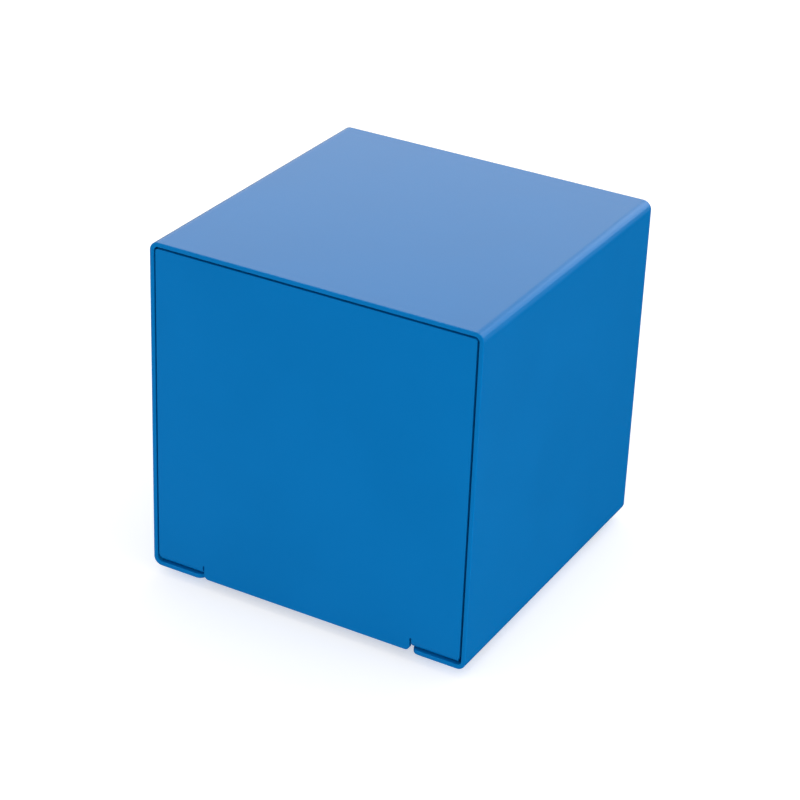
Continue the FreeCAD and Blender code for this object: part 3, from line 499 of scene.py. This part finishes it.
def resistor_lacquer():
    """Beige resistors with four colour bands, on tinned tails."""
    graph = started("resistor_lacquer")
    along = graph.axis("X")
    beige, red, violet, gold = srgb(206, 180, 138), srgb(150, 30, 24), srgb(96, 52, 128), srgb(170, 130, 50)
    bands = [(0.0, beige), (0.16, red), (0.24, beige), (0.34, violet), (0.42, beige), (0.52, red)]
    bands += [(0.60, beige), (0.78, gold), (0.86, beige)]
    share = along.share(-RESISTOR_HALF, RESISTOR_HALF)
    body = graph.node("ShaderNodeValToRGB", {"bands": bands}, {0: share})
    tail = along.math("ABSOLUTE").within(RESISTOR_HALF - 0.05 * MM, RESISTOR_HALF + 0.02 * MM)
    colour = graph.blend(tail, body, srgb(190, 190, 192))
    speckle = graph.noise(SPECKLE, 2.0)
    return finish(graph, colour, speckle * 0.15 + 0.25, tail, graph.bump(speckle, 0.2, SPECKLE_HEIGHT))


def wire_jacket():
    """Soft wire jackets, each run coloured by its place across the box."""
    graph = started("wire_jacket")
    white, black, red, green = srgb(214, 214, 208), srgb(28, 28, 30), srgb(168, 24, 22), srgb(30, 120, 52)
    bands = [(0.0, red), (0.1, black), (0.3, white), (0.36, green), (0.43, red), (0.47, black)]
    bands += [(0.53, white), (0.62, black), (0.66, red), (0.8, black), (0.88, red), (0.93, green)]
    share = graph.axis("X").share(-WIRES_REACH, WIRES_REACH)
    coats = graph.node("ShaderNodeValToRGB", {"bands": bands}, {0: share})
    scuff = graph.noise(SCUFF, 2.0)
    return finish(graph, coats, scuff * 0.15 + 0.38, 0.0, graph.bump(scuff, 0.2, SPECKLE_HEIGHT))


def layered(name, dark, light, axis, pitch, roughness, metallic):
    """Stack or winding: thin bands across one axis, each groove darkened with painted shade."""
    graph = started(name)
    phase = graph.axis(axis) * (2 * math.pi / (pitch * MM))
    ridge = phase.math("SINE") * 0.5 + 0.5
    patch = graph.noise(PATCH, 3.0)
    # The darker colour in each groove between neighbours is painted shade.
    colour = graph.blend(ridge.within(0.0, 0.5), dark, light)
    rough = patch * 0.16 + (roughness - 0.08)
    return finish(graph, colour, rough, metallic, graph.bump(ridge, 0.6, GROOVE))


# %% All finishes
finishes = {
    "blue_powder_coat": powder_coat(),
    "nickel": brushed("satin_nickel", srgb(196, 192, 184), srgb(214, 210, 202), 0.26, "Y"),
    "zinc_steel": brushed("zinc_plate", srgb(170, 176, 180), srgb(202, 204, 198), 0.34, "X"),
    "silver_contact": brushed("silver_plate", srgb(208, 206, 198), srgb(232, 230, 222), 0.22, "Y"),
    "shield_metal": brushed("shield_alloy", srgb(150, 148, 142), srgb(176, 174, 168), 0.38, "Z", ALLOY_LINES),
    "black_screw": black_oxide(),
    "black_plastic": moulded("black_plastic", srgb(20, 20, 21), srgb(30, 30, 31), 0.46),
    "slider_plastic": moulded("slider_plastic", srgb(16, 16, 17), srgb(24, 24, 25), 0.3, SLIDER_GRAIN),
    "button_plastic": moulded("button_plastic", srgb(214, 213, 206), srgb(226, 225, 219), 0.28, BUTTON_GRAIN),
    "capacitor_case": moulded("capacitor_case", srgb(128, 28, 20), srgb(150, 38, 28), 0.4),
    "soft_pad": moulded("soft_pad", srgb(44, 44, 46), srgb(66, 66, 68), 0.85, PAD_GRAIN),
    "rubber": foot_rubber(),
    "green_laminate": board_laminate(),
    "resistor_lacquer": resistor_lacquer(),
    "core_steel": layered("core_laminations", srgb(58, 60, 64), srgb(104, 106, 110), "Y", 0.5, 0.5, 0.9),
    "winding_copper": layered("copper_winding", srgb(110, 50, 24), srgb(196, 104, 58), "Z", 0.3, 0.35, 0.9),
    "wire_jacket": wire_jacket(),
}
slot_of = {entry["node"]: entry["material_slot"] for entry in frame["record"]["subparts"]}
for node, made in frame["nodes"].items():
    made.data.materials.clear()
    made.data.materials.append(finishes[slot_of[node]])
print(len(finishes), "finishes on", len(frame["nodes"]), "CAD nodes")

# %% [markdown]
# ## Surfaces from grids
#
# A mesh could be pushed and cut by hand, but a formula is easier to change. Each new surface is a
# grid of points: rows run one way, columns the other, and either can close into a loop. Its open
# ends are capped with one flat face.


# %% Grid to mesh
def grid_faces(rows, columns, close_rows, close_columns, start=0):
    """Quads of a grid, as indices, with either direction closed if asked."""
    row = np.arange(rows if close_rows else rows - 1)[:, None]
    column = np.arange(columns if close_columns else columns - 1)[None, :]
    next_row = (row + 1) % rows
    next_column = (column + 1) % columns
    quads = [row * columns + column, row * columns + next_column,
             next_row * columns + next_column, next_row * columns + column]
    return np.stack(np.broadcast_arrays(*quads), axis=-1).reshape(-1, 4) + start


def register(piece, slot, body, replaced):
    """Links a piece, shades it smooth, gives it its finish and body and hides the CAD nodes it replaces."""
    bpy.context.collection.objects.link(piece)
    piece.data.polygons.foreach_set("use_smooth", [True] * len(piece.data.polygons))
    piece.data.materials.clear()
    piece.data.materials.append(finishes[slot])
    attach(piece, body)
    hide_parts(*replaced)
    return piece


def new_piece(name, points, faces, slot, body, replaced):
    """Object from points and faces, smooth, with its finish, its body and what it stands for."""
    mesh = bpy.data.meshes.new(name)
    mesh.from_pydata(points.reshape(-1, 3).tolist(), [], [tuple(face) for face in faces])
    mesh.update()
    return register(bpy.data.objects.new(name, mesh), slot, body, replaced)


# %% [markdown]
# ## The shell
#
# One sheet wraps the top, both sides and a short return under each side. It could be a copy of the
# CAD solid with a Bevel, but the paint's roundness at the open corners of the returns comes out
# cleaner as a swept surface. The path of the sheet's middle is a line with four round corners, and
# the sheet's own cross-section, a long thin rectangle with rounded edges, is carried along it. Near
# each free end the section gets shorter along a quarter circle, which rounds the returns' corners.


# %% Path of the sheet
def fold_path(turns, radius, steps):
    """Points and outward normals of a path in XZ: straight runs joined by arcs at the inner turns."""
    turns = np.array(turns, dtype=float)
    points, normals = [turns[:1]], []
    for before, here, after in zip(turns, turns[1:], turns[2:]):
        arrive = (here - before) / np.linalg.norm(here - before)
        leave = (after - here) / np.linalg.norm(after - here)
        centre = here - arrive * radius + leave * radius
        angle = np.linspace(0.0, math.pi / 2, steps + 1)[:, None]
        normal = -leave * np.cos(angle) + arrive * np.sin(angle)
        points.append(centre + normal * radius)
        normals.append(normal)
    points.append(turns[-1:])
    normals = [normals[0][:1], *normals, normals[-1][-1:]]
    return np.vstack(points), np.vstack(normals)


def with_stations(points, normals, near_end, margin):
    """The path with extra stations near both ends and just outside each arc."""
    length = np.concatenate([[0.0], np.cumsum(np.linalg.norm(np.diff(points, axis=0), axis=1))])
    long_runs = np.where(np.diff(length) > 5 * margin)[0]
    beside_arcs = np.concatenate([length[long_runs] + margin, length[long_runs + 1] - margin])
    ends = np.concatenate([near_end, length[-1] - near_end])
    station = np.unique(np.round(np.concatenate([length, beside_arcs, ends]), 9))
    place = np.stack([np.interp(station, length, points[:, k]) for k in (0, 1)], axis=1)
    normal = np.stack([np.interp(station, length, normals[:, k]) for k in (0, 1)], axis=1)
    return station, place, normal / np.linalg.norm(normal, axis=1)[:, None]


# %% Section of the sheet
FLAT_MARGIN = 0.12 * MM
ARC_MARGIN = 0.15 * MM


def section_loop(half_long, half_thick, edge, steps=5):
    """Rounded rectangle (along Y, across the sheet) for every station.

    Each corner is a quarter circle of the edge radius. One more point just past it on the long side
    keeps the shading of the flat from leaning into the corner.
    """
    quarter_turn = np.linspace(0.0, math.pi / 2, steps)
    loops = []
    for quarter, (side, face) in enumerate(((1, 1), (-1, 1), (-1, -1), (1, -1))):
        angle = quarter_turn + quarter * math.pi / 2
        along = side * (half_long - edge)[:, None] + edge * np.cos(angle)
        across = face * (half_thick - edge)[:, None] + edge * np.sin(angle)
        if quarter % 2 == 0:
            along = np.hstack([along, along[:, -1:] - side * FLAT_MARGIN])
            across = np.hstack([across, across[:, -1:]])
        else:
            along = np.hstack([along[:, :1] - side * FLAT_MARGIN, along])
            across = np.hstack([across[:, :1], across])
        loops.append((along, across))
    return np.hstack([along for along, _ in loops]), np.hstack([across for _, across in loops])


def quarter_round(distance, radius):
    """What a quarter circle takes off a straight edge at a distance from the corner."""
    inside = np.clip(radius - distance, 0.0, radius)
    return radius - np.sqrt(radius ** 2 - inside ** 2)


def quarter_steps(radius, steps):
    """Distances from a corner at which a quarter circle has turned by equal angles."""
    return radius * (1 - np.cos(np.linspace(0, math.pi / 2, steps)))


# %% Shell
def build_shell():
    """Closed sheet carried round the cube, with rounded return corners."""
    mid = SHEET / 2
    free = half_x - RETURN
    left, right = -half_x + mid, half_x - mid
    low, high = shell_low[2] + mid, shell_high[2] - mid
    turns = [(-free, low), (left, low), (left, high), (right, high), (right, low), (free, low)]
    points, normals = fold_path(turns, FOLD - mid, 14)
    near_end = np.concatenate([quarter_steps(SHEET_EDGE, 5), quarter_steps(RETURN_CORNER, 9)])
    station, place, normal = with_stations(points, normals, near_end, ARC_MARGIN)
    from_end = np.minimum(station, station[-1] - station)
    half_long = half_y - quarter_round(from_end, RETURN_CORNER)
    half_thick = mid - quarter_round(from_end, SHEET_EDGE)
    along, across = section_loop(half_long, half_thick, SHEET_EDGE)
    rows, columns = along.shape
    grid = np.empty((rows, columns, 3))
    grid[:, :, 0] = place[:, :1] + normal[:, :1] * across
    grid[:, :, 1] = along
    grid[:, :, 2] = place[:, 1:] + normal[:, 1:] * across
    faces = grid_faces(rows, columns, False, True).tolist()
    faces.append(list(range(columns))[::-1])
    faces.append(list(range((rows - 1) * columns, rows * columns)))
    return new_piece("shell_skin", grid, faces, "blue_powder_coat", "cabinet", ["shell"])


shell_skin = build_shell()
print("shell:", len(shell_skin.data.polygons), "faces")

# %% [markdown]
# ## Softened copies
#
# The other folded sheets, the connector's shell, the sliders and the panel's screws have the right
# shape but knife-sharp edges. Working their surfaces out anew would repeat the CAD. Instead a copy
# is merged, its flat triangles are joined into larger faces, and a Bevel rounds every real edge as
# paint or a mould does. Weighted normals, led by face area, keep the flats flat in the shading.

# %% Softened copies
SOFT_EDGES = {
    "chassis": 0.16,
    "rear_panel": 0.2,
    "xlr_shell": 0.18,
    "ground_lift_slider": 0.12,
    "pad_slider": 0.12,
    "xlr_screws": 0.06,
    "switch_screws": 0.06,
}
MERGE = 0.002 * MM
SAME_PLANE = math.radians(0.6)
REAL_EDGE = math.radians(38.0)
body_of = {node: body for body, nodes in frame["record"]["behaviour"]["bodies"].items() for node in nodes}


def softened(node, width):
    """Copy of a CAD node with its real edges rounded."""
    mesh = frame["nodes"][node].data.copy()
    work = bmesh.new()
    work.from_mesh(mesh)
    bmesh.ops.remove_doubles(work, verts=work.verts, dist=MERGE)
    bmesh.ops.dissolve_limit(work, angle_limit=SAME_PLANE, verts=work.verts, edges=work.edges)
    work.to_mesh(mesh)
    work.free()
    piece = register(bpy.data.objects.new(node + "_skin", mesh), slot_of[node], body_of[node], [node])
    bevel = piece.modifiers.new("edges", "BEVEL")
    bevel.width = width
    bevel.segments = 3
    bevel.limit_method = "ANGLE"
    bevel.angle_limit = REAL_EDGE
    flats = piece.modifiers.new("flats", "WEIGHTED_NORMAL")
    flats.weight = 100


for node, width in SOFT_EDGES.items():
    softened(node, width * MM)
print("softened:", ", ".join(SOFT_EDGES))

# %% [markdown]
# ## Turned pieces
#
# Bushings, nuts, washers, feet and pins are all made on a lathe, or nearly. Each is a closed
# profile of radius and height carried round an axis. Blender's Screw modifier could spin a profile,
# but not vary it on the way. Here the radius may depend on the angle as well, and that gives a
# nut's flats and a thread: a nut is the smaller of a hexagon and a cone, and a thread is a ridge
# whose height along the axis climbs by one pitch in each turn. Profiles of points and arcs are
# written in millimetres.


# %% Turning helper
AXIS = 0.05  # millimetres from the axis at which a solid profile ends and is capped


def turned_points(start, axis, radius, height, segments):
    """Grid of points round an axis: radius times cosine and sine of the angle, and the height."""
    angle = np.linspace(0.0, 2 * math.pi, segments, endpoint=False)[:, None]
    radius = np.broadcast_to(radius, (segments, np.shape(radius)[-1]))
    height = np.broadcast_to(height, radius.shape)
    up, along = ((0, 0, 1), (0, 1, 0)) if axis == "Y" else ((0, 1, 0), (0, 0, 1))
    side = np.multiply.outer(radius * np.cos(angle), (1, 0, 0))
    across = np.multiply.outer(radius * np.sin(angle), up)
    return np.asarray(start) + side + across + np.multiply.outer(height, along)


def turned(name, starts, axis, radius, height, slot, replaced,
           body="cabinet", segments=64, solid=False, crease=40.0):
    """One piece from a profile turned round each start point; a solid one is capped at its ends."""
    grids, faces, offset = [], [], 0
    for start in starts:
        grid = turned_points(start, axis, radius, height, segments)
        columns = grid.shape[1]
        faces += grid_faces(segments, columns, True, not solid, offset).tolist()
        if solid:
            first = offset + np.arange(segments) * columns
            faces += [first.tolist(), (first + columns - 1).tolist()]
        grids.append(grid.reshape(-1, 3))
        offset += segments * columns
    piece = new_piece(name, np.vstack(grids), faces, slot, body, replaced)
    outward(piece)
    piece.data.set_sharp_from_angle(angle=math.radians(crease))
    print(name + ":", len(piece.data.polygons), "faces")


def outward(piece):
    """Turns every face of a closed mesh outwards."""
    work = bmesh.new()
    work.from_mesh(piece.data)
    bmesh.ops.recalc_face_normals(work, faces=work.faces)
    work.to_mesh(piece.data)
    work.free()


def arc(centre, radius, begin, end, steps=5):
    """Points (radius, height) of an arc in a profile, between two angles in degrees."""
    angle = np.radians(np.linspace(begin, end, steps))
    return np.stack([centre[0] + radius * np.cos(angle), centre[1] + radius * np.sin(angle)], axis=1)


def profile(*runs):
    """Radii and heights of a profile given in millimetres as points and arcs."""
    return np.vstack([np.atleast_2d(run) for run in runs]).T * MM


# %% [markdown]
# ## Jack bushings, nuts and washers
#
# The two jacks stand in the rear panel on threaded bushings. A washer spreads the nut's grip over
# the paint. The thread has a pitch of 0.794 mm, 32 to the inch. It could be a bump in the finish,
# but its crests show against the light at the rim, so it is real geometry.

# %% Threads
PITCH = 0.794 * MM
THREAD_DEPTH = 0.32 * MM
CREST_POWER = 1.2
TUBE_MOUTH = 0.5 * MM


def threaded_tube(name, node, bore, thread_from):
    """Tube along +Y that stands for a CAD node, with a thread on its outer end and eased mouths.

    The phase is the height in pitches less the angle in turns, so its whole numbers trace a helix.
    The radius falls from the crest, at half a phase, to the root, at a whole one.
    """
    low, high = corners(node)
    start = ((low[0] + high[0]) / 2, low[1], (low[2] + high[2]) / 2)
    length = high[1] - low[1]
    outside = (high[0] - low[0]) / 2
    segments = 72
    angle = np.linspace(0.0, 2 * math.pi, segments, endpoint=False)[:, None]
    thread_h = np.arange(length - TUBE_MOUTH, thread_from, -PITCH / 8)
    phase = (thread_h[None, :] / PITCH - angle / (2 * math.pi)) % 1.0
    ridge = outside - THREAD_DEPTH * np.abs(2 * phase - 1) ** CREST_POWER
    mouth_r = [bore, bore, bore + 0.1 * MM, bore + 0.4 * MM]
    rim_r = [outside - 0.55 * MM, outside - 0.4 * MM]
    before_r = np.array(mouth_r + rim_r)
    before_h = np.array([0.0, length - TUBE_MOUTH, length - 0.2 * MM, length, length, length - 0.12 * MM])
    after_h = np.array([thread_from, 0.0])
    plain = np.ones((segments, 1))
    radius = np.hstack([plain * before_r, ridge, plain * outside, plain * outside])
    height = np.concatenate([before_h, thread_h, after_h])
    turned(name, [start], "Y", radius, height, "nickel", [node], segments=segments, crease=50.0)
    return start


# %% Nuts
NUT_FLANK = np.array([0.0, 0.03, 0.07, 0.12, 0.18, 0.25, 0.33, 0.42, 0.52, 0.62]) * MM
NUT_EASE = 0.25 * MM
CONE_START = 0.985
CONE_SLOPE = 1.7
HEXAGON_POWER = 60


def hexagon_radius(angle, across):
    """Radius of a hexagon with corners at multiples of 60 degrees, its corners slightly rounded.

    Half the width across flats over the largest cosine to a flat, taken as a soft maximum.
    """
    flats = np.radians([30.0, 90.0, 150.0])
    closeness = np.abs(np.cos(angle[:, None] - flats[None, :])) ** HEXAGON_POWER
    return across / 2 / closeness.sum(axis=1) ** (1 / HEXAGON_POWER)


def nut(name, starts, bore, across, thick, replaced):
    """Hexagon nuts along +Y: the smaller of a hexagon and a cone that opens from either face."""
    segments = 120
    angle = np.linspace(0.0, 2 * math.pi, segments, endpoint=False)
    outer_h = np.concatenate([thick - NUT_FLANK, NUT_FLANK[::-1]])
    cone = across / 2 * CONE_START + np.minimum(outer_h, thick - outer_h) * CONE_SLOPE
    outer_r = np.minimum(hexagon_radius(angle, across)[:, None], cone[None, :])
    inner_r = np.array([bore + NUT_EASE, bore, bore, bore + NUT_EASE])
    inner_h = np.array([0.0, NUT_EASE, thick - NUT_EASE, thick])
    radius = np.hstack([np.ones((segments, 1)) * inner_r, outer_r])
    height = np.concatenate([inner_h, outer_h])
    turned(name, starts, "Y", radius, height, "nickel", replaced, segments=segments, crease=22.0)


# %% Jacks
JACK_BORE = 3.25 * MM
JACK_THREAD = 4.7 * MM
JACK_THREAD_FROM = 8.2 * MM
JACK_NUT = (12.7 * MM, 2.4 * MM)
WASHER = 0.6
WASHER_BORE = 4.95
WASHER_RADIUS = 7.6
rear_out = corners("jack_washers")[0][1]
jack_starts = []
for side in ("input", "thru"):
    x, _, z = threaded_tube(side + "_bushing_thread", side + "_jack_bushing", JACK_BORE, JACK_THREAD_FROM)
    jack_starts.append((x, rear_out, z))
radius, height = profile((WASHER_BORE, 0.0), (WASHER_BORE, WASHER - 0.1),
                         arc((WASHER_BORE + 0.15, WASHER - 0.15), 0.15, 180, 90),
                         arc((WASHER_RADIUS - 0.2, WASHER - 0.2), 0.2, 90, 0), (WASHER_RADIUS, 0.0))
turned("jack_washer_rings", jack_starts, "Y", radius, height, "nickel", ["jack_washers"])
nut_starts = [(x, y + WASHER * MM, z) for x, y, z in jack_starts]
nut("jack_hex_nuts", nut_starts, JACK_THREAD, *JACK_NUT, ["jack_nuts"])

# %% [markdown]
# ## Push switch
#
# A short threaded barrel and a hexagon nut hold it. The button has a shallow dish for the
# fingertip, turned as a part of its profile; it rides on its own body, so the dish goes in with it.

# %% Push switch
BARREL_BORE = 3.7 * MM
BARREL_THREAD = 5.0 * MM
BARREL_THREAD_FROM = 3.6 * MM
BARREL_NUT = (14.0 * MM, 2.0 * MM)
BUTTON = 3.5
BUTTON_FLANGE = (4.3, 1.8)
BUTTON_ROUND = 0.6
DISH = 0.3
x, _, z = threaded_tube("polarity_barrel_thread", "polarity_barrel", BARREL_BORE, BARREL_THREAD_FROM)
nut("polarity_hex_nut", [(x, rear_out, z)], BARREL_THREAD, *BARREL_NUT, ["polarity_nut"])
low, high = corners("polarity_button")
tip = (high[1] - low[1]) / MM
flange, step = BUTTON_FLANGE
rim = (BUTTON - BUTTON_ROUND, tip - BUTTON_ROUND)
radius, height = profile((AXIS, 0.0), (flange, 0.0), (flange, step), (BUTTON, step), (BUTTON, tip - 0.8),
                         arc(rim, BUTTON_ROUND, 0, 90, 7), (2.5, tip - 0.05), (1.7, tip - 0.2),
                         (0.9, tip - 0.28), (AXIS, tip - DISH))
turned("polarity_button_cap", [(x, low[1], z)], "Y", radius, height, "button_plastic", ["polarity_button"],
       body="polarity_push_body", solid=True)

# %% [markdown]
# ## Output pins
#
# Three silver pins stand in the output connector, two above and one below. A plain cylinder would
# end in a hard disc; these are turned with a round nose, as real ones are, to find their sockets.

# %% Output pins
PIN = 1.2
low, high = corners("xlr_pins")
inset = PIN * MM
upper, lower = high[2] - inset, low[2] + inset
pin_centres = [(low[0] + inset, upper), (high[0] - inset, upper), ((low[0] + high[0]) / 2, lower)]
pin_straight = (high[1] - low[1]) / MM - PIN
radius, height = profile((AXIS, 0.0), (PIN, 0.0), (PIN, pin_straight),
                         arc((0.0, pin_straight), PIN, 8, 87, 8))
turned("output_pins", [(x, low[1], z) for x, z in pin_centres], "Y", radius, height, "silver_contact",
       ["xlr_pins"], segments=40, solid=True, crease=50.0)

# %% [markdown]
# ## Feet
#
# Four moulded rubber feet keep the cabinet off the stage. Each tapers a little, rests on a softly
# rounded rim and has a pocket that hides its screw. One profile turned at four places makes them.

# %% Feet
FOOT = 6.0
FOOT_HOLE = 1.7
FOOT_POCKET = (3.7, 2.3)
FOOT_RIM = 0.25
FOOT_ROUND = 0.9
FOOT_TOP_EASE = 0.2
foot_x, foot_y, foot_top = corners("rubber_feet")[1] / MM
pocket, ceiling = FOOT_POCKET
ease = FOOT_TOP_EASE
radius, height = profile((FOOT_HOLE, foot_top), (FOOT_HOLE, ceiling), (pocket - ease, ceiling),
                         arc((pocket - ease, ceiling - ease), ease, 90, 0, 3),
                         arc((pocket + FOOT_RIM, FOOT_RIM), FOOT_RIM, 180, 270, 4),
                         arc((4.75, FOOT_ROUND), FOOT_ROUND, 270, 350, 7), (FOOT, foot_top - 0.3),
                         arc((FOOT - ease, foot_top - ease), ease, 0, 90, 3))
foot_x, foot_y = (foot_x - FOOT) * MM, (foot_y - FOOT) * MM
foot_starts = [(x, y, 0.0) for x in (-foot_x, foot_x) for y in (-foot_y, foot_y)]
turned("rubber_foot_set", foot_starts, "Z", radius, height, "rubber", ["rubber_feet"])
